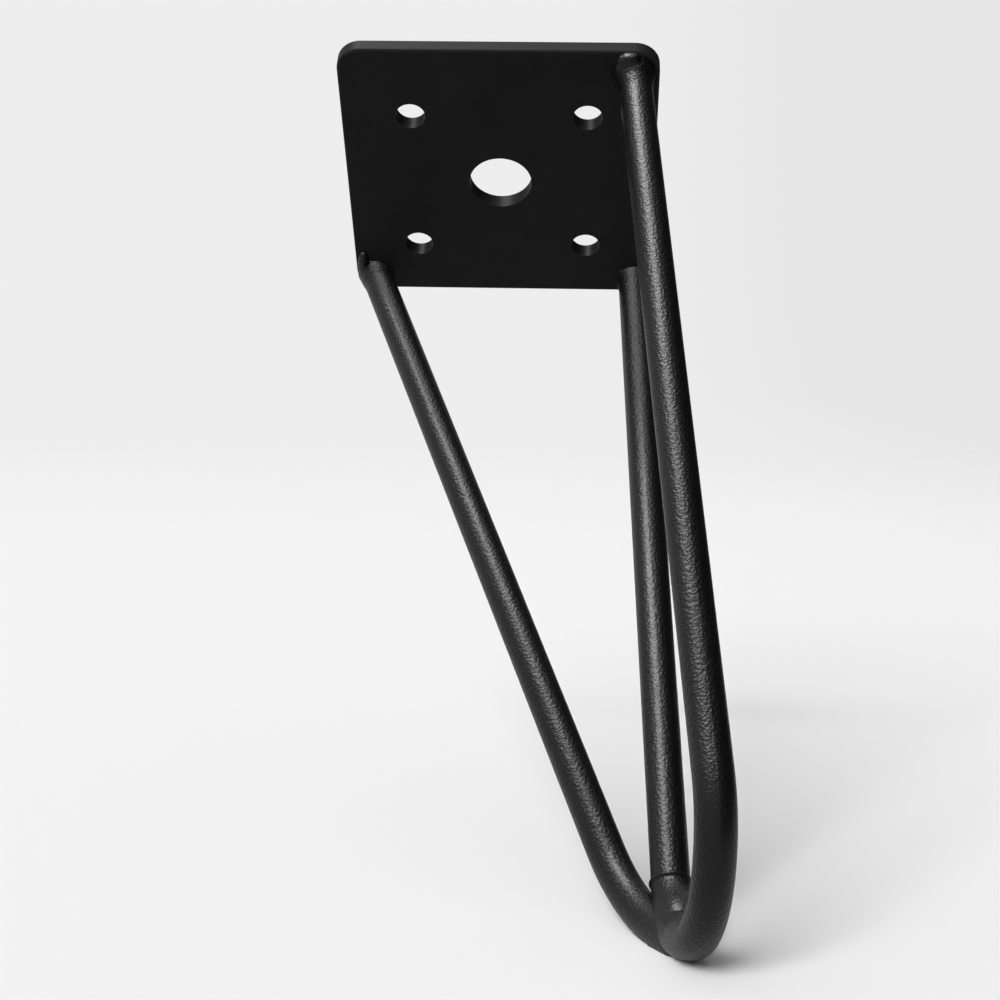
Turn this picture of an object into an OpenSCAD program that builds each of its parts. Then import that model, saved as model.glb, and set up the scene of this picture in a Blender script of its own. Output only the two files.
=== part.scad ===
// Hairpin table leg: three round steel rods that run from a square screw plate down to one bent foot.
// The origin is on the axis of the plate's middle hole, level with the plate's top face. +Z points up at
// the tabletop, +X to the right and +Y to the back. The foot hangs below, out past the right-hand edge.

/* [Plate] */
// Length of each side of the square plate
plate_side = 116; // [100:1:150]
// Thickness of the plate
plate_t = 6; // [3:0.5:10]
// Radius of the plate's corners, seen from above
plate_corner_r = 9; // [3:0.5:16]
// Radius that rounds the plate's upper and lower rims
plate_rim_r = 0.9; // [0.3:0.1:1.4]

/* [Plate holes] */
// Spacing of the screw holes from left to right
screw_span_x = 65; // [50:0.5:76]
// Spacing of the screw holes from front to back
screw_span_y = 62.5; // [50:0.5:70]
// Diameter of the screw holes
screw_hole_d = 11; // [4:0.5:13]
// Diameter of the large hole in the middle
centre_hole_d = 23.5; // [12:0.5:32]
// Distance of the hole pattern behind the middle of the plate
holes_back = 2.75; // [0:0.25:4]

/* [Rods] */
// Diameter of the round steel rod
rod_d = 12; // [8:0.5:14]
// Distance of the near right rod's centre from the plate's two edges
near_inset = 9.25; // [6:0.25:12]
// Distance of the far right rod's centre from the plate's two edges
right_inset = 6.25; // [6:0.25:12]
// Distance of the far left rod's centre from the plate's two edges
left_inset = 7.5; // [6:0.25:12]

/* [Foot] */
// Depth of the bend's centre below the plate's underside
bend_drop = 274; // [180:1:400]
// Distance of the bend's centre to the right of the plate's middle
bend_x = 65.5; // [40:0.5:90]
// Distance of the bend's centre behind the plate's middle
bend_y = 7; // [-10:0.5:40]
// Radius of the bend, measured to the middle of the rod
bend_r = 32.5; // [20:0.5:45]
// Angle that the bend is turned from the front-to-back direction
bend_turn = -7.5; // [-12:0.5:4]

/* [Side rod] */
// Depth at which the far left rod starts to curve in to the foot, below the plate's underside
side_drop = 258.5; // [180:0.5:280]
// Distance of that point to the right of the plate's middle
side_x = 42; // [20:0.5:60]
// Distance of that point behind the plate's middle
side_y = 50; // [40:0.5:70]
// Angle round the bend, from its near end, at which the side rod is welded on
side_seat = 132; // [110:1:160]
// Distance of the side rod's tip outside the bend's centre line
side_tip_out = 2; // [0:0.5:5]
// Distance of the side rod's tip to the left of the bend's centre line
side_tip_left = 1.6; // [0:0.2:5]

/* [Welds] */
// Width of the near right rod's weld to the plate
near_weld_w = 4; // [1:0.5:6]
// Width of the far right rod's weld to the plate
right_weld_w = 1.5; // [1:0.5:6]
// Width of the far left rod's weld to the plate
left_weld_w = 3; // [1:0.5:6]
// Height of the plate welds' raised bead
weld_h = 3; // [2:0.5:6]
// Length that a plate weld runs out along its rod
weld_run = 8; // [6:0.5:20]
// Thickness of the weld metal that wraps the foot's joint
foot_weld_t = 0.7; // [0.5:0.1:2]
// Angle round the bend at which the foot weld starts
foot_weld_from = 112; // [95:1:125]
// Angle that the foot weld runs on past the bend's end
foot_weld_past = 3; // [0:0.5:6]

/* [Hidden] */
$fn = 128;

plate_half = plate_side / 2;
rod_r = rod_d / 2;
underside = -plate_t;
// One overrun serves every cut
overrun = rod_d;
// Extra turn of the cut that hollows the foot weld
cut_turn = 10;
// Step left at the thin end of a plate weld
weld_toe = 0.15;

function unit(v) = v / norm(v);

// Where each rod's centre line meets the plate's underside
plate_middle = [0, -holes_back, 0];
near_top = plate_middle + [plate_half - near_inset, near_inset - plate_half, underside];
right_top = plate_middle + [plate_half - right_inset, plate_half - right_inset, underside];
left_top = plate_middle + [left_inset - plate_half, plate_half - left_inset, underside];

// The bend lies in a plane through the near rod's top and its own centre
bend_centre = plate_middle + [bend_x, bend_y, underside - bend_drop];
bend_level = [sin(bend_turn), cos(bend_turn), 0];
near_to_bend = bend_centre - near_top;
bend_normal = unit(cross(bend_level, near_to_bend));
near_side = cross(bend_normal, unit(near_to_bend));

// The near rod runs straight until it touches the bend's circle
near_sine = bend_r / norm(near_to_bend);
near_cosine = sqrt(1 - near_sine * near_sine);
near_dir = unit(near_to_bend) * near_cosine + near_side * near_sine;
near_length = norm(near_to_bend) * near_cosine;
bend_start = near_top + near_dir * near_length;
bend_across = unit(bend_centre - bend_start);

// The bend goes on until it points at the far right rod's top
right_from_bend = right_top - bend_centre;
right_across = right_from_bend * bend_across;
right_up = -(right_from_bend * near_dir);
bend_extra = atan2(right_up, right_across) - acos(bend_r / norm([right_across, right_up]));
bend_sweep = 180 + bend_extra;

// A point at an angle round the bend
function on_bend(a, out = 0) =
    bend_centre + (bend_r + out) * (near_dir * sin(a) - bend_across * cos(a));
bend_end = on_bend(bend_sweep);
right_dir = unit(bend_end - right_top);
right_length = norm(bend_end - right_top);

// The side rod runs straight and then curves in to its seat on the bend
side_start = plate_middle + [side_x, side_y, underside - side_drop];
side_dir = unit(side_start - left_top);
side_tip = on_bend(side_seat, side_tip_out) + bend_normal * side_tip_left;
side_chord = side_tip - side_start;
side_ahead = side_chord * side_dir;
side_off = side_chord - side_ahead * side_dir;
side_across = unit(side_off);
side_r = (side_ahead * side_ahead + side_off * side_off) / (2 * norm(side_off));
side_sweep = 2 * atan2(norm(side_off), side_ahead);

// Places what is drawn at the origin at a point, with its X and Y along two given directions
module placed(at, x_dir, y_dir) {
    z_dir = cross(x_dir, y_dir);
    multmatrix([
        [x_dir.x, y_dir.x, z_dir.x, at.x],
        [x_dir.y, y_dir.y, z_dir.y, at.y],
        [x_dir.z, y_dir.z, z_dir.z, at.z]
    ]) children();
}

// Turns what is drawn along +Z to run from a point in a given direction
module towards(at, dir) {
    x_dir = unit(cross([0, 1, 0], dir));
    placed(at, x_dir, cross(dir, x_dir)) children();
}

module straight_rod(from, dir, length, d = rod_d) {
    towards(from, dir) cylinder(h = length, d = d);
}

// A curved stretch of rod that starts on the X axis and turns towards Y
module curved_rod(r, sweep, d = rod_d) {
    rotate_extrude(angle = sweep) translate([r, 0]) circle(d = d);
}

// A curved rod with a straight run that leads into it
module bent_rod(r, sweep, lead) {
    curved_rod(r, sweep);
    translate([r, 0, 0]) rotate([90, 0, 0]) cylinder(h = lead, d = rod_d);
}

module above_underside() {
    translate([-plate_side, -plate_side, underside]) cube([2 * plate_side, 2 * plate_side, plate_side]);
}

// The space on the bend's side of its end face
module before_bend_end() {
    placed(bend_end, bend_across * cos(bend_extra) - near_dir * sin(bend_extra), bend_normal)
        translate([-bend_r, -bend_r, -bend_r]) cube([2 * bend_r, 2 * bend_r, bend_r]);
}

// Outline of a slab with rounded rims, seen from its end
module slab_section(width) {
    straight = width - 2 * plate_rim_r;
    translate([-straight / 2, 0]) square([straight, plate_t]);
    translate([-width / 2, plate_rim_r]) square([width, plate_t - 2 * plate_rim_r]);
    for (side = [-1, 1], level = [plate_rim_r, plate_t - plate_rim_r])
        translate([side * straight / 2, level]) circle(r = plate_rim_r);
}

module plate_slab() {
    run = plate_side - 2 * plate_corner_r;
    translate(plate_middle + [0, 0, underside]) {
        for (turn = [0, 90])
            rotate([90, 0, turn]) translate([0, 0, -run / 2])
                linear_extrude(run) slab_section(plate_side);
        for (x = [-1, 1], y = [-1, 1])
            translate([x * run / 2, y * run / 2, 0])
                rotate_extrude() intersection() {
                    slab_section(2 * plate_corner_r);
                    square([plate_corner_r, plate_t]);
                }
    }
}

module hole(x, y, d) {
    translate([x, y, underside - overrun]) cylinder(h = plate_t + 2 * overrun, d = d);
}

module near_rod_solid() {
    difference() {
        placed(bend_centre, -bend_across, near_dir) bent_rod(bend_r, bend_sweep, near_length + overrun);
        above_underside();
    }
}

module right_rod_solid() {
    difference() {
        straight_rod(right_top - right_dir * overrun, right_dir, right_length + 2 * overrun);
        above_underside();
        before_bend_end();
    }
}

module side_rod_bare() {
    difference() {
        placed(side_start + side_across * side_r, -side_across, side_dir)
            bent_rod(side_r, side_sweep, norm(side_start - left_top) + overrun);
        above_underside();
    }
}

// Raised bead round a rod's top, with a collar that runs out along the rod, trimmed to the plate's outline
module plate_weld(top, dir, width) {
    bead_reach = rod_r + width;
    color("#232325")
    difference() {
        intersection() {
            union() {
                translate(top) rotate_extrude() intersection() {
                    union() {
                        translate([bead_reach - weld_h, 0]) circle(r = weld_h);
                        translate([0, -weld_h]) square([bead_reach - weld_h, weld_h]);
                    }
                    translate([0, -weld_h]) square([bead_reach, weld_h]);
                }
                towards(top, dir) cylinder(h = weld_run, r1 = rod_r + width / 2, r2 = rod_r + weld_toe);
            }
            translate(plate_middle + [0, 0, underside - 2 * weld_run])
                linear_extrude(2 * weld_run) plate_outline();
        }
        straight_rod(top - dir * overrun, dir, 2 * overrun + weld_run);
    }
}

module plate_outline() {
    run = plate_side - 2 * plate_corner_r;
    square([plate_side, run], center = true);
    square([run, plate_side], center = true);
    for (x = [-1, 1], y = [-1, 1]) translate([x * run / 2, y * run / 2]) circle(r = plate_corner_r);
}

module mounting_plate() {
    color("#1c1c1e")
    difference() {
        plate_slab();
        for (x = [-1, 1], y = [-1, 1]) hole(x * screw_span_x / 2, y * screw_span_y / 2, screw_hole_d);
        hole(0, 0, centre_hole_d);
    }
}

module near_right_rod() {
    color("#232325") near_rod_solid();
}

module far_right_rod() {
    color("#232325") right_rod_solid();
}

module far_left_rod() {
    color("#232325") difference() {
        side_rod_bare();
        near_rod_solid();
    }
}

module near_right_weld() {
    plate_weld(near_top, near_dir, near_weld_w);
}

module far_right_weld() {
    plate_weld(right_top, right_dir, right_weld_w);
}

module far_left_weld() {
    plate_weld(left_top, side_dir, left_weld_w);
}

// Weld metal that wraps the bend's far end, where the other two rods come in
module foot_weld() {
    weld_sweep = bend_sweep + foot_weld_past - foot_weld_from;
    color("#232325")
    difference() {
        placed(bend_centre, -bend_across, near_dir) difference() {
            rotate([0, 0, foot_weld_from]) curved_rod(bend_r, weld_sweep, rod_d + 2 * foot_weld_t);
            rotate([0, 0, foot_weld_from - cut_turn]) curved_rod(bend_r, weld_sweep + 2 * cut_turn);
        }
        straight_rod(right_top, right_dir, right_length + overrun);
        side_rod_bare();
    }
}

mounting_plate();
near_right_rod();
far_right_rod();
far_left_rod();
near_right_weld();
far_right_weld();
far_left_weld();
foot_weld();
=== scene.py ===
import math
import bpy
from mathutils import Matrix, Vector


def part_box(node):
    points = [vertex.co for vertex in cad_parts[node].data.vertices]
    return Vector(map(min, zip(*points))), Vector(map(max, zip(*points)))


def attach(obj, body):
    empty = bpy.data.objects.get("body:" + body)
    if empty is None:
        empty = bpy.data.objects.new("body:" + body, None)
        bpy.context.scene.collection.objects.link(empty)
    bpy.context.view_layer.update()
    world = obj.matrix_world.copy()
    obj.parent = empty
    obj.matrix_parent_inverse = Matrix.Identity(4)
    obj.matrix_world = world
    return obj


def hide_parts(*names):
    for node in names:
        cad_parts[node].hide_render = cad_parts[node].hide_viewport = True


bl_info = {
    "name": "Hairpin Table Leg",
    "version": (1, 0, 0),
    "blender": (4, 5, 0),
    "location": "View3D > Sidebar > Hairpin Leg",
    "description": "Coats a black steel hairpin leg, models its welds and sets a pale studio floor",
    "category": "Add Mesh",
}

import bpy
from mathutils import Matrix, Vector

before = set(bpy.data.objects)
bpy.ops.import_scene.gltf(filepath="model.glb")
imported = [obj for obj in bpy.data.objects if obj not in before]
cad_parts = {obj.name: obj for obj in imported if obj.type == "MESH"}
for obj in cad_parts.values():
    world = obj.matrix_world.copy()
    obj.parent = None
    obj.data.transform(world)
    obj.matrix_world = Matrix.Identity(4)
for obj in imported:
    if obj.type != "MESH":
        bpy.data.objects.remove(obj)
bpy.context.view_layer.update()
BODY = "root"
FOOT_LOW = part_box("near_right_rod")[0].z
MM = 0.001
Z_AXIS = Vector((0, 0, 1))

# Sizes that the pieces share with the part's source, in metres
ROD_R = 6 * MM
PLATE_T = 6 * MM
PLATE_MIDDLE = Vector((0, -2.75, 0)) * MM
PLATE_HALF = 58 * MM


def unit(vector):
    return vector.normalized()


# Where the rods leave the plate's underside
NEAR_TOP = PLATE_MIDDLE + Vector((48.75, -48.75, -6)) * MM
RIGHT_TOP = PLATE_MIDDLE + Vector((51.75, 51.75, -6)) * MM
LEFT_TOP = PLATE_MIDDLE + Vector((-50.5, 50.5, -6)) * MM

# The bend of the near right rod, in the plane of its straight run and its middle
BEND_MIDDLE = PLATE_MIDDLE + Vector((65.5, 7, -280)) * MM
BEND_R = 32.5 * MM
BEND_TURN = math.radians(-7.5)


def bend_frame():
    """The near rod's direction, the direction across its bend, and the bend's sweep"""
    reach = BEND_MIDDLE - NEAR_TOP
    normal = unit(Vector((math.sin(BEND_TURN), math.cos(BEND_TURN), 0)).cross(reach))
    sine = BEND_R / reach.length
    down = unit(reach) * math.sqrt(1 - sine * sine) + normal.cross(unit(reach)) * sine
    start = NEAR_TOP + down * (reach.length * math.sqrt(1 - sine * sine))
    across = unit(BEND_MIDDLE - start)
    back = RIGHT_TOP - BEND_MIDDLE
    rise, run = -back.dot(down), back.dot(across)
    sweep = math.pi + math.atan2(rise, run) - math.acos(BEND_R / math.hypot(rise, run))
    return down, across, normal, sweep


NEAR_DIR, BEND_ACROSS, BEND_NORMAL, BEND_SWEEP = bend_frame()


def on_bend(turn, out=0.0):
    """A point on the bend's centre line, or outside it"""
    return BEND_MIDDLE + (BEND_R + out) * (NEAR_DIR * math.sin(turn) - BEND_ACROSS * math.cos(turn))


BEND_END = on_bend(BEND_SWEEP)
RIGHT_DIR = unit(BEND_END - RIGHT_TOP)
SIDE_START = PLATE_MIDDLE + Vector((42, 50, -264.5)) * MM
SIDE_DIR = unit(SIDE_START - LEFT_TOP)
SIDE_TIP = on_bend(math.radians(132), 2 * MM) + BEND_NORMAL * 1.6 * MM
# The side rod's direction where it reaches the bend: its curve turns by twice the chord's angle
SIDE_END_DIR = unit(2 * SIDE_DIR.dot(unit(SIDE_TIP - SIDE_START)) * unit(SIDE_TIP - SIDE_START) - SIDE_DIR)

# The plate welds: node, rod, radius at the plate, and each drop's angle, distance and radius in millimetres
WELDS = (
    ("near_right_weld", NEAR_TOP, NEAR_DIR, 8.4 * MM,
     ((225, 6.0, 3.0), (238, 6.3, 3.3), (251, 6.4, 3.3), (264, 6.2, 3.0))),
    ("far_right_weld", RIGHT_TOP, RIGHT_DIR, 6.9 * MM, ((184, 6.1, 1.3), (200, 6.0, 1.3), (216, 6.0, 1.2))),
    ("far_left_weld", LEFT_TOP, SIDE_DIR, 7.0 * MM,
     ((205, 5.5, 1.9), (220, 6.2, 2.2), (231, 7.4, 2.3), (240, 9.0, 2.2), (246, 10.6, 1.9))))
# A weld starts inside the plate, is cut off there, and stays this far inside the plate's edges
WELD_ROOT = 2 * MM
WELD_TOP = 0.45 * MM
WELD_INSET = 0.4 * MM
# Points of a cut weld that lie closer together than this are merged
CLOSE = 0.05 * MM

# The foot weld, with angles in degrees round the bend
FOOT_STEP = 2
CREASE_IN, CREASE_R = 0.1 * MM, 0.8 * MM
WEB_START, WEB_END, WEB_DEPTH = 84, 138, 1.7
HUMP_START, HUMP_RISE, HUMP_FALL, HUMP_END = 135, 11, 24, 172
HUMP_DEPTH, HUMP_SWELL, HUMP_SIDES = 1.4, 0.55, (0.1, 1.6)
SKIN_START, SKIN_END = 64, 168
WRAP_START, WRAP_RISE = 112, 14
BULGE_START, BULGE_RISE, BULGE_FALL, BULGE_END = 62, 70, 24, 170
TIP_BALLS, TIP_STEP = 8, 1.2 * MM

# The camera, and the floor it looks down on, which the leg leans over
EYE = Vector((0.0322, -0.4861, -0.5726))
EYE_RIGHT = Vector((0.99900, 0.02008, 0.03992))
EYE_UP = Vector((-0.01757, -0.64492, 0.76405))
FLOOR_UP = unit(Vector((0, -0.71, 0.71)))
FLOOR_RIGHT = Vector((1, 0, 0))
FLOOR_FRONT = FLOOR_RIGHT.cross(FLOOR_UP)
FOOT_AT = Vector((0.068, 0.004, FOOT_LOW))
FOOT_SINK = 2.4 * MM

# The sheet and the card in metres on the floor, and where the lights and the pale air come from
SHEET_WIDTH, SHEET_DEPTH, SHEET_BACK, SHEET_RISE, SHEET_CURVE = 14, 8, 2.5, 6, 1.6
CARD_SIZE, CARD_AT = (4.4, 3, 1), (0.9, 0.4, 1.4)
KEY_FROM = FLOOR_UP - FLOOR_RIGHT * 0.58 + FLOOR_FRONT * 1.15
SPARKLE_FROM = FLOOR_UP - FLOOR_RIGHT * 0.27 - FLOOR_FRONT * 0.03
SPARKLE_WIDTH = math.radians(26)
FILL_FROM = FLOOR_UP * 0.6 - FLOOR_RIGHT * 0.8

# How much of the rods' relief and gloss the plate's finer coat has
PLATE_RELIEF, PLATE_GLOSS = 0.3, 0.2


# Properties
class CoatSettings(bpy.types.PropertyGroup):
    black: bpy.props.FloatVectorProperty(
        name="Black", description="Colour of the coat on the rods and welds", subtype="COLOR", size=3, min=0,
        max=1, default=(0.0013, 0.0013, 0.0015))
    # The plate's coat is about ten times lighter than the rods' black: its own black plus painted reflection
    # of the pale floor, which its low shine leaves out.
    plate_black_and_painted_reflection: bpy.props.FloatVectorProperty(
        name="Plate black", description="Colour of the coat on the plate", subtype="COLOR", size=3, min=0,
        max=1, default=(0.0135, 0.0135, 0.0142))
    grain: bpy.props.FloatProperty(
        name="Grain", description="Width of one pebble of the coat's grain", default=0.0009, unit="LENGTH")
    relief: bpy.props.FloatProperty(
        name="Relief", description="Height of the coat's grain", default=0.00024, precision=6, unit="LENGTH")
    roughness: bpy.props.FloatProperty(
        name="Roughness", description="Roughness of the coat on the rods", default=0.43, min=0, max=1)
    plate_roughness: bpy.props.FloatProperty(
        name="Plate roughness", description="Roughness of the coat on the plate", default=0.5, min=0, max=1)
    shine: bpy.props.FloatProperty(
        name="Shine", description="Strength of the reflections on the rods", default=0.2, min=0, max=1)
    plate_shine: bpy.props.FloatProperty(
        name="Plate shine", description="Strength of the reflections on the plate", default=0.03, min=0,
        max=1)
    gloss: bpy.props.FloatProperty(
        name="Gloss", description="Strength of the smooth sheen that lights up the rods' edges", default=0.06,
        min=0, max=1)


class WeldSettings(bpy.types.PropertyGroup):
    run: bpy.props.FloatProperty(
        name="Run", description="Length that a plate weld thins out along its rod", default=0.012,
        unit="LENGTH")
    wrap: bpy.props.FloatProperty(
        name="Wrap", description="Thickness of the weld metal round the foot's joint", default=0.0003,
        precision=5, unit="LENGTH")
    lean: bpy.props.FloatProperty(
        name="Lean", description="How far the foot's weld bulges towards the side rod", default=0.0018,
        precision=5, unit="LENGTH")
    voxel: bpy.props.FloatProperty(
        name="Voxel", description="Fineness of the fused weld metal", default=0.0004, precision=5,
        unit="LENGTH")


class StageSettings(bpy.types.PropertyGroup):
    floor: bpy.props.FloatVectorProperty(
        name="Floor", description="Colour of the floor and backdrop", subtype="COLOR", size=3, min=0, max=1,
        default=(0.86, 0.85, 0.855))
    focal: bpy.props.FloatProperty(
        name="Focal length", description="Lens of the camera, in millimetres", default=70.2, min=10, max=300)
    key: bpy.props.FloatProperty(
        name="Key light", description="Strength of the main light", default=3.1, min=0)
    key_width: bpy.props.FloatProperty(
        name="Key width", description="How wide the main light looks from the leg",
        default=math.radians(30), subtype="ANGLE")
    sparkle: bpy.props.FloatProperty(
        name="Sparkle", description="Strength of the light that shows only as a highlight on the coat",
        default=5.4, min=0)
    fill: bpy.props.FloatProperty(
        name="Fill light", description="Strength of the light from all round", default=0.22, min=0)


# Materials
class Wire:
    """A node socket that works in sums and products"""

    def __init__(self, finish, socket):
        self.finish = finish
        self.socket = socket

    def _sum(self, operation, left, right):
        return self.finish.node("ShaderNodeMath", {"operation": operation}, {0: left, 1: right})

    def __add__(self, other):
        return self._sum("ADD", self, other)

    def __radd__(self, other):
        return self._sum("ADD", other, self)

    def __sub__(self, other):
        return self._sum("SUBTRACT", self, other)

    def __rsub__(self, other):
        return self._sum("SUBTRACT", other, self)

    def __mul__(self, other):
        return self._sum("MULTIPLY", self, other)

    def __rmul__(self, other):
        return self._sum("MULTIPLY", other, self)


class Finish:
    """Builds the nodes of one material or of the world"""

    def __init__(self, tree):
        self.tree = tree
        tree.nodes.clear()

    def node(self, kind, settings=None, inputs=None, output=0):
        made = self.tree.nodes.new(kind)
        for name, value in (settings or {}).items():
            setattr(made, name, value)
        for name, value in (inputs or {}).items():
            if isinstance(value, Wire):
                self.tree.links.new(value.socket, made.inputs[name])
            else:
                made.inputs[name].default_value = value
        return Wire(self, made.outputs[output]) if made.outputs else None

    def surface(self, shader, kind="ShaderNodeOutputMaterial"):
        self.node(kind, {}, {"Surface": shader})


def new_finish(name):
    material = bpy.data.materials.new(name)
    material.use_nodes = True
    return material, Finish(material.node_tree)


def powder_coat(name, black, roughness, relief, shine, gloss):
    """Black powder coat with a fine pebbled grain under a thin smooth sheen"""
    coat = bpy.context.scene.leg_coat
    material, finish = new_finish(name)
    place = finish.node("ShaderNodeTexCoord", {}, {}, "Object")
    pebbles = finish.node(
        "ShaderNodeTexVoronoi", {"feature": "SMOOTH_F1"},
        {"Vector": place, "Scale": 1 / coat.grain, "Smoothness": 0.6, "Randomness": 1.0}, "Distance")
    dust = finish.node(
        "ShaderNodeTexNoise", {},
        {"Vector": place, "Scale": 1.3 / coat.grain, "Detail": 2.0, "Roughness": 0.5})
    drift = finish.node(
        "ShaderNodeTexNoise", {}, {"Vector": place, "Scale": 60.0, "Detail": 3.0, "Roughness": 0.55})
    height = 0.7 * (1 - pebbles) + 0.3 * dust
    bump = finish.node(
        "ShaderNodeBump", {}, {"Strength": 1.0, "Distance": relief, "Height": height})
    tint = finish.node(
        "ShaderNodeMix", {"data_type": "RGBA"},
        {0: drift, 6: (*[shade * 0.8 for shade in black], 1), 7: (*[shade * 1.2 for shade in black], 1)}, 2)
    shader = finish.node(
        "ShaderNodeBsdfPrincipled", {},
        {"Base Color": tint, "Roughness": roughness - 0.05 + 0.1 * drift, "Normal": bump,
         "Specular IOR Level": shine, "Coat Weight": gloss, "Coat Roughness": 0.22})
    finish.surface(shader)
    return material


def sheet_finish():
    """Pale floor and backdrop that keep the leg's shadow and vanish from behind, with painted shade that
    darkens them towards the right and greys the floor for bounce light
    """
    stage = bpy.context.scene.leg_stage
    material, finish = new_finish("studio_sheet")
    rays = finish.node("ShaderNodeLightPath", {}, {}, "Is Camera Ray")
    path = rays.socket.node.outputs
    seen = rays + Wire(finish, path["Is Glossy Ray"]) + Wire(finish, path["Is Transmission Ray"])
    place = finish.node("ShaderNodeTexCoord", {}, {}, "Object")
    side = finish.node("ShaderNodeSeparateXYZ", {}, {"Vector": place}, "X")
    depth = Wire(finish, side.socket.node.outputs["Y"])
    # Painted shade: the floor and backdrop get 7 percent darker towards the right.
    painted_shade_to_right = finish.node(
        "ShaderNodeMapRange", {"interpolation_type": "SMOOTHSTEP"},
        {"Value": side, "From Min": -0.1, "From Max": 0.9, "To Min": 0.0, "To Max": 1.0})
    colour = finish.node(
        "ShaderNodeMix", {"data_type": "RGBA"},
        {0: painted_shade_to_right, 6: (*stage.floor, 1), 7: (*[shade * 0.93 for shade in stage.floor], 1)}, 2)
    matte = finish.node("ShaderNodeBsdfDiffuse", {}, {"Color": colour})
    glow = finish.node("ShaderNodeEmission", {}, {"Color": colour, "Strength": 1.0})
    far = finish.node(
        "ShaderNodeMapRange", {"interpolation_type": "SMOOTHSTEP"},
        {"Value": depth, "From Min": 0.9, "From Max": 2.6, "To Min": 0.0, "To Max": 1.0})
    lit = finish.node("ShaderNodeMixShader", {}, {0: far, 1: matte, 2: glow})
    # Painted shade: to bounce light the floor is dark grey, which deepens the shade on the leg's sides.
    shade_deepening_bounce = finish.node("ShaderNodeBsdfDiffuse", {}, {"Color": (0.42, 0.42, 0.42, 1)})
    front = finish.node("ShaderNodeMixShader", {}, {0: seen, 1: shade_deepening_bounce, 2: lit})
    clear = finish.node("ShaderNodeBsdfTransparent", {}, {})
    behind = finish.node("ShaderNodeNewGeometry", {}, {}, "Backfacing")
    finish.surface(finish.node("ShaderNodeMixShader", {}, {0: behind, 1: front, 2: clear}))
    return material


# Modelling helpers
def smooth_step(value):
    value = min(max(value, 0.0), 1.0)
    return value * value * (3 - 2 * value)


def clear_selection():
    if bpy.context.mode != "OBJECT":
        bpy.ops.object.mode_set(mode="OBJECT")
    bpy.ops.object.select_all(action="DESELECT")


def turned(at, z_dir):
    """Place and turn of a primitive whose Z axis points along z_dir"""
    return Matrix.Translation(at) @ z_dir.to_track_quat("Z", "Y").to_matrix().to_4x4()


def place_active(at, z_dir):
    piece = bpy.context.active_object
    piece.matrix_world = turned(at, z_dir)
    bpy.ops.object.transform_apply(location=True, rotation=True, scale=True)
    return piece


def add_ring(at, z_dir, ring_r, wire_r):
    clear_selection()
    bpy.ops.mesh.primitive_torus_add(
        major_segments=64, minor_segments=24, major_radius=ring_r, minor_radius=wire_r)
    return place_active(at, z_dir)


def add_cone(at, z_dir, low_r, high_r, length):
    """A cone frustum whose wide end is at a point"""
    clear_selection()
    bpy.ops.mesh.primitive_cone_add(vertices=72, radius1=low_r, radius2=high_r, depth=length)
    return place_active(at + z_dir * (length / 2), z_dir)


def add_ball(at, radius):
    clear_selection()
    bpy.ops.mesh.primitive_uv_sphere_add(segments=32, ring_count=20, radius=radius)
    return place_active(at, Z_AXIS)


def fuse(name, lumps, voxel, smooth):
    """Joins overlapping lumps into one closed skin and softens it"""
    clear_selection()
    for lump in lumps:
        lump.select_set(True)
    piece = lumps[0]
    bpy.context.view_layer.objects.active = piece
    bpy.ops.object.join()
    piece.name = name
    piece.data.name = name
    skin = piece.modifiers.new("Skin", "REMESH")
    skin.mode = "VOXEL"
    skin.voxel_size = voxel
    skin.use_smooth_shade = True
    bpy.ops.object.modifier_apply(modifier=skin.name)
    soften = piece.modifiers.new("Soften", "SMOOTH")
    soften.factor = 0.5
    soften.iterations = smooth
    bpy.ops.object.modifier_apply(modifier=soften.name)
    bpy.ops.object.shade_smooth()
    return piece


def trim(piece, at, normal):
    """Cuts away what lies on a plane's far side and closes the cut"""
    clear_selection()
    piece.select_set(True)
    bpy.context.view_layer.objects.active = piece
    bpy.ops.object.mode_set(mode="EDIT")
    bpy.ops.mesh.select_all(action="SELECT")
    bpy.ops.mesh.bisect(plane_co=at, plane_no=normal, clear_outer=True, use_fill=False)
    bpy.ops.mesh.select_all(action="SELECT")
    bpy.ops.mesh.remove_doubles(threshold=CLOSE)
    bpy.ops.mesh.select_all(action="DESELECT")
    bpy.ops.mesh.select_non_manifold()
    bpy.ops.mesh.edge_face_add()
    bpy.ops.object.mode_set(mode="OBJECT")


def finish_piece(piece, material, slot, *nodes):
    piece.data.materials.clear()
    piece.data.materials.append(material)
    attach(piece, BODY)
    if nodes:
        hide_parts(*nodes)


def coat(name):
    settings = bpy.context.scene.leg_coat
    found = bpy.data.materials.get(name)
    if found:
        return found
    if name == "plate_powder":
        # The plate's colour holds painted reflection as well as its own black.
        return powder_coat(
            name, settings.plate_black_and_painted_reflection, settings.plate_roughness, settings.relief * PLATE_RELIEF,
            settings.plate_shine, settings.gloss * PLATE_GLOSS)
    return powder_coat(
        name, settings.black, settings.roughness, settings.relief, settings.shine, settings.gloss)


def paint_node(node, material):
    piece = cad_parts[node]
    piece.data.materials.clear()
    piece.data.materials.append(material)


# Operators
class LEG_OT_plate(bpy.types.Operator):
    """Coats the screw plate"""
    bl_idname = "leg.plate"
    bl_label = "Plate"

    def execute(self, context):
        paint_node("mounting_plate", coat("plate_powder"))
        return {"FINISHED"}


class LEG_OT_rods(bpy.types.Operator):
    """Coats the round rods"""
    bl_idname = "leg.rods"
    bl_label = "Rods"

    def execute(self, context):
        for node in ("near_right_rod", "far_right_rod", "far_left_rod"):
            paint_node(node, coat("rod_powder"))
        return {"FINISHED"}


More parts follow.
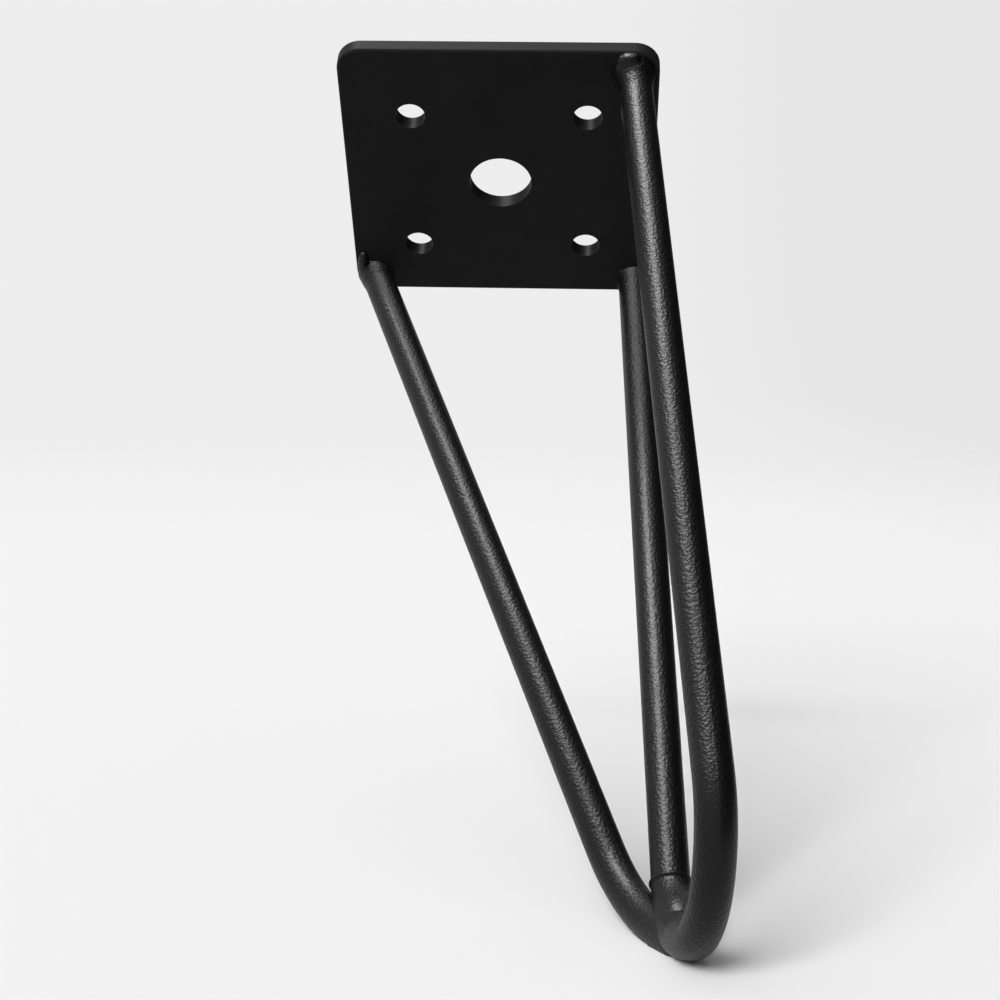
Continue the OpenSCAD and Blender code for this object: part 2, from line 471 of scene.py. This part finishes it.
class LEG_OT_plate_welds(bpy.types.Operator):
    """Models the welds that join the rods to the plate"""
    bl_idname = "leg.plate_welds"
    bl_label = "Plate welds"

    def execute(self, context):
        for node, top, down, flare, drops in WELDS:
            self.add_weld(context, node, top, down, flare, drops)
        return {"FINISHED"}

    def add_weld(self, context, node, top, down, flare, drops):
        """A collar that thins out down the rod, and the drops of weld metal that stand out from it"""
        settings = context.scene.leg_weld
        start = top - down * WELD_ROOT
        skirt = flare - ROD_R
        lumps = [
            add_cone(start, down, flare, ROD_R + skirt * 0.35, settings.run * 0.4 + WELD_ROOT),
            add_cone(start, down, ROD_R + skirt * 0.55, ROD_R - 0.2 * MM, settings.run + WELD_ROOT)]
        for turn, out, radius in drops:
            turn = math.radians(turn)
            place = Vector((math.cos(turn) * out, math.sin(turn) * out, -0.3 * radius)) * MM
            lumps.append(add_ball(top + place, radius * MM))
        weld = fuse(node + "_bead", lumps, settings.voxel, 8)
        trim(weld, Vector((0, 0, WELD_TOP - PLATE_T)), Z_AXIS)
        corner = Vector((math.copysign(1, top.x), math.copysign(1, top.y), 0))
        edge = PLATE_MIDDLE + corner * (PLATE_HALF - WELD_INSET)
        trim(weld, edge, Vector((corner.x, 0, 0)))
        trim(weld, edge, Vector((0, corner.y, 0)))
        finish_piece(weld, coat("rod_powder"), "weld_coat", node)


class LEG_OT_foot_weld(bpy.types.Operator):
    """Models the weld metal that wraps the joint at the foot"""
    bl_idname = "leg.foot_weld"
    bl_label = "Foot weld"

    def execute(self, context):
        settings = context.scene.leg_weld
        # The crease where the bend's end meets the far right rod
        lumps = [add_ring(BEND_END, RIGHT_DIR, ROD_R - CREASE_IN, CREASE_R)]
        # The fill inside the bend, and the hump that thins out towards the bend's end
        for degrees in range(WEB_START, HUMP_END + 1, FOOT_STEP):
            web = 0
            if degrees < WEB_END:
                web = math.sin(math.pi * (degrees - WEB_START) / (WEB_END - WEB_START)) ** 2
            hump = smooth_step((degrees - HUMP_START) / HUMP_RISE) * min(1, (HUMP_END - degrees) / HUMP_FALL)
            for side in HUMP_SIDES:
                at = on_bend(math.radians(degrees), -(WEB_DEPTH * web + HUMP_DEPTH * hump) * MM)
                at += self.bulge(settings, degrees) * web - BEND_NORMAL * side * hump * MM
                lumps.append(add_ball(at, ROD_R + HUMP_SWELL * hump * MM))
        # The skin round the bend, and its bulge towards the side rod
        for degrees in range(SKIN_START, SKIN_END + 1, FOOT_STEP):
            at = on_bend(math.radians(degrees))
            if degrees >= WRAP_START:
                wrap = settings.wrap * smooth_step((degrees - WRAP_START) / WRAP_RISE)
                lumps.append(add_ball(at, ROD_R + wrap))
            lumps.append(add_ball(at + self.bulge(settings, degrees), ROD_R - 0.05 * MM))
        # The side rod's tip
        for number in range(TIP_BALLS):
            back = SIDE_END_DIR * number * TIP_STEP
            lumps.append(add_ball(SIDE_TIP - back, ROD_R - 0.02 * number * MM))
        weld = fuse("foot_weld_skin", lumps, settings.voxel * 0.75, 4)
        finish_piece(weld, coat("rod_powder"), "weld_coat", "foot_weld")
        return {"FINISHED"}

    @staticmethod
    def bulge(settings, degrees):
        """How far the skin leans towards the side rod at an angle of the bend"""
        rise = smooth_step((degrees - BULGE_START) / BULGE_RISE)
        fall = smooth_step((BULGE_END - degrees) / BULGE_FALL)
        return BEND_NORMAL * settings.lean * rise * fall


class LEG_OT_stage(bpy.types.Operator):
    """Adds the floor, the backdrop, the lights and the camera"""
    bl_idname = "leg.stage"
    bl_label = "Stage"

    def execute(self, context):
        stage = context.scene.leg_stage
        lowest = min(
            point.co.dot(FLOOR_UP) for node in ("near_right_rod", "far_left_rod", "foot_weld")
            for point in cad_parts[node].data.vertices)
        ground = FOOT_AT + FLOOR_UP * (lowest + FOOT_SINK - FOOT_AT.dot(FLOOR_UP))
        turn = Matrix((FLOOR_RIGHT, -FLOOR_FRONT, FLOOR_UP)).transposed().to_4x4()
        place = Matrix.Translation(ground) @ turn
        self.add_sheet(place)
        self.add_card(place)
        self.add_lights(context, stage, ground)
        self.add_camera(context, stage)
        return {"FINISHED"}

    def add_sheet(self, place):
        """One sheet: a floor that curves up into a backdrop"""
        clear_selection()
        bpy.ops.mesh.primitive_plane_add(size=1)
        sheet = bpy.context.active_object
        sheet.name = "studio_sheet"
        bpy.ops.transform.resize(value=(SHEET_WIDTH, SHEET_DEPTH, 1))
        bpy.ops.transform.translate(value=(0, SHEET_BACK, 0))
        bpy.ops.object.transform_apply(location=True, rotation=True, scale=True)
        bpy.ops.object.mode_set(mode="EDIT")
        bpy.ops.mesh.select_all(action="DESELECT")
        bpy.ops.object.mode_set(mode="OBJECT")
        for edge in sheet.data.edges:
            edge.select = all(sheet.data.vertices[v].co.y > SHEET_BACK for v in edge.vertices)
        bpy.ops.object.mode_set(mode="EDIT")
        bpy.ops.mesh.select_mode(type="EDGE")
        bpy.ops.mesh.extrude_region_move(TRANSFORM_OT_translate={"value": (0, 0, SHEET_RISE)})
        bpy.ops.object.mode_set(mode="OBJECT")
        for edge in sheet.data.edges:
            ends = [sheet.data.vertices[v].co for v in edge.vertices]
            edge.select = all(end.y > SHEET_BACK and end.z < 1 for end in ends)
        bpy.ops.object.mode_set(mode="EDIT")
        bpy.ops.mesh.bevel(offset=SHEET_CURVE, segments=24)
        bpy.ops.mesh.select_all(action="SELECT")
        bpy.ops.mesh.normals_make_consistent(inside=False)
        bpy.ops.object.mode_set(mode="OBJECT")
        if sum(face.normal.z for face in sheet.data.polygons) < 0:
            bpy.ops.object.mode_set(mode="EDIT")
            bpy.ops.mesh.flip_normals()
            bpy.ops.object.mode_set(mode="OBJECT")
        bpy.ops.object.shade_smooth()
        sheet.matrix_world = place
        sheet.data.materials.append(sheet_finish())

    def add_card(self, place):
        """A dark card on the right that shows only in the coat's reflections"""
        clear_selection()
        bpy.ops.mesh.primitive_plane_add(size=1)
        card = bpy.context.active_object
        card.name = "side_card"
        bpy.ops.transform.resize(value=CARD_SIZE)
        bpy.ops.object.transform_apply(location=True, rotation=True, scale=True)
        material, finish = new_finish("card_black")
        grain = finish.node("ShaderNodeTexNoise", {}, {"Scale": 8.0})
        shade = finish.node(
            "ShaderNodeMix", {"data_type": "RGBA"},
            {0: grain, 6: (0.02, 0.02, 0.02, 1), 7: (0.04, 0.04, 0.04, 1)}, 2)
        finish.surface(finish.node("ShaderNodeBsdfDiffuse", {}, {"Color": shade}))
        card.data.materials.append(material)
        upright = Matrix(((0, 0, -1), (1, 0, 0), (0, 1, 0))).to_4x4()
        card.matrix_world = place @ Matrix.Translation(CARD_AT) @ upright
        for ray in ("camera", "diffuse", "transmission", "shadow", "volume_scatter"):
            setattr(card, "visible_" + ray, False)

    def add_sun(self, context, name, strength, width, ground, above):
        clear_selection()
        bpy.ops.object.light_add(type="SUN")
        sun = context.active_object
        sun.name = name
        sun.data.energy = strength
        sun.data.angle = width
        sun.matrix_world = turned(ground + unit(above), unit(above))
        return sun

    def add_lights(self, context, stage, ground):
        key = self.add_sun(context, "key_light", stage.key, stage.key_width, ground, KEY_FROM)
        key.visible_glossy = False
        sparkle = self.add_sun(
            context, "sparkle_light", stage.sparkle, SPARKLE_WIDTH, ground, SPARKLE_FROM)
        sparkle.visible_diffuse = False
        sparkle.data.use_shadow = False
        world = bpy.data.worlds.new("studio_air")
        world.use_nodes = True
        context.scene.world = world
        air = Finish(world.node_tree)
        rays = air.node("ShaderNodeLightPath", {}, {}, "Is Camera Ray")
        path = rays.socket.node.outputs
        seen = rays + Wire(air, path["Is Glossy Ray"]) + Wire(air, path["Is Transmission Ray"])
        place = air.node("ShaderNodeTexCoord", {}, {}, "Generated")
        side = air.node(
            "ShaderNodeVectorMath", {"operation": "DOT_PRODUCT"},
            {0: place, 1: unit(FILL_FROM)}, "Value")
        light = air.node(
            "ShaderNodeMapRange", {"interpolation_type": "SMOOTHSTEP"},
            {"Value": side, "From Min": -0.4, "From Max": 0.9, "To Min": 0.3 * stage.fill,
             "To Max": 3 * stage.fill})
        dim = air.node("ShaderNodeBackground", {}, {"Color": (1, 1, 1, 1), "Strength": light})
        pale = air.node("ShaderNodeBackground", {}, {"Color": (*stage.floor, 1), "Strength": 1.0})
        air.surface(air.node("ShaderNodeMixShader", {}, {0: seen, 1: dim, 2: pale}), "ShaderNodeOutputWorld")

    def add_camera(self, context, stage):
        clear_selection()
        bpy.ops.object.camera_add()
        eye = context.active_object
        eye.name = "product_camera"
        eye.data.lens = stage.focal
        eye.data.sensor_width = 36
        eye.data.clip_start = 0.01
        turn = Matrix((EYE_RIGHT, EYE_UP, EYE_RIGHT.cross(EYE_UP))).transposed().to_4x4()
        eye.matrix_world = Matrix.Translation(EYE) @ turn
        context.scene.camera = eye
        context.scene.view_settings.view_transform = "Standard"


class LEG_PT_panel(bpy.types.Panel):
    """Lists the leg's pieces in the sidebar"""
    bl_idname = "LEG_PT_panel"
    bl_label = "Hairpin Leg"
    bl_space_type = "VIEW_3D"
    bl_region_type = "UI"
    bl_category = "Hairpin Leg"

    def draw(self, context):
        for group in (context.scene.leg_coat, context.scene.leg_weld, context.scene.leg_stage):
            box = self.layout.box()
            for name in group.__annotations__:
                box.prop(group, name)
        for operator in PIECES:
            self.layout.operator(operator.bl_idname)


SETTINGS = {"leg_coat": CoatSettings, "leg_weld": WeldSettings, "leg_stage": StageSettings}
PIECES = (LEG_OT_plate, LEG_OT_rods, LEG_OT_plate_welds, LEG_OT_foot_weld, LEG_OT_stage)


def register():
    for group in (*SETTINGS.values(), *PIECES, LEG_PT_panel):
        bpy.utils.register_class(group)
    for name, group in SETTINGS.items():
        setattr(bpy.types.Scene, name, bpy.props.PointerProperty(type=group))


def unregister():
    for name in SETTINGS:
        delattr(bpy.types.Scene, name)
    for group in reversed((*SETTINGS.values(), *PIECES, LEG_PT_panel)):
        bpy.utils.unregister_class(group)


def main():
    register()
    bpy.ops.leg.plate()
    bpy.ops.leg.rods()
    bpy.ops.leg.plate_welds()
    bpy.ops.leg.foot_weld()
    bpy.ops.leg.stage()


if __name__ == "__main__":
    main()
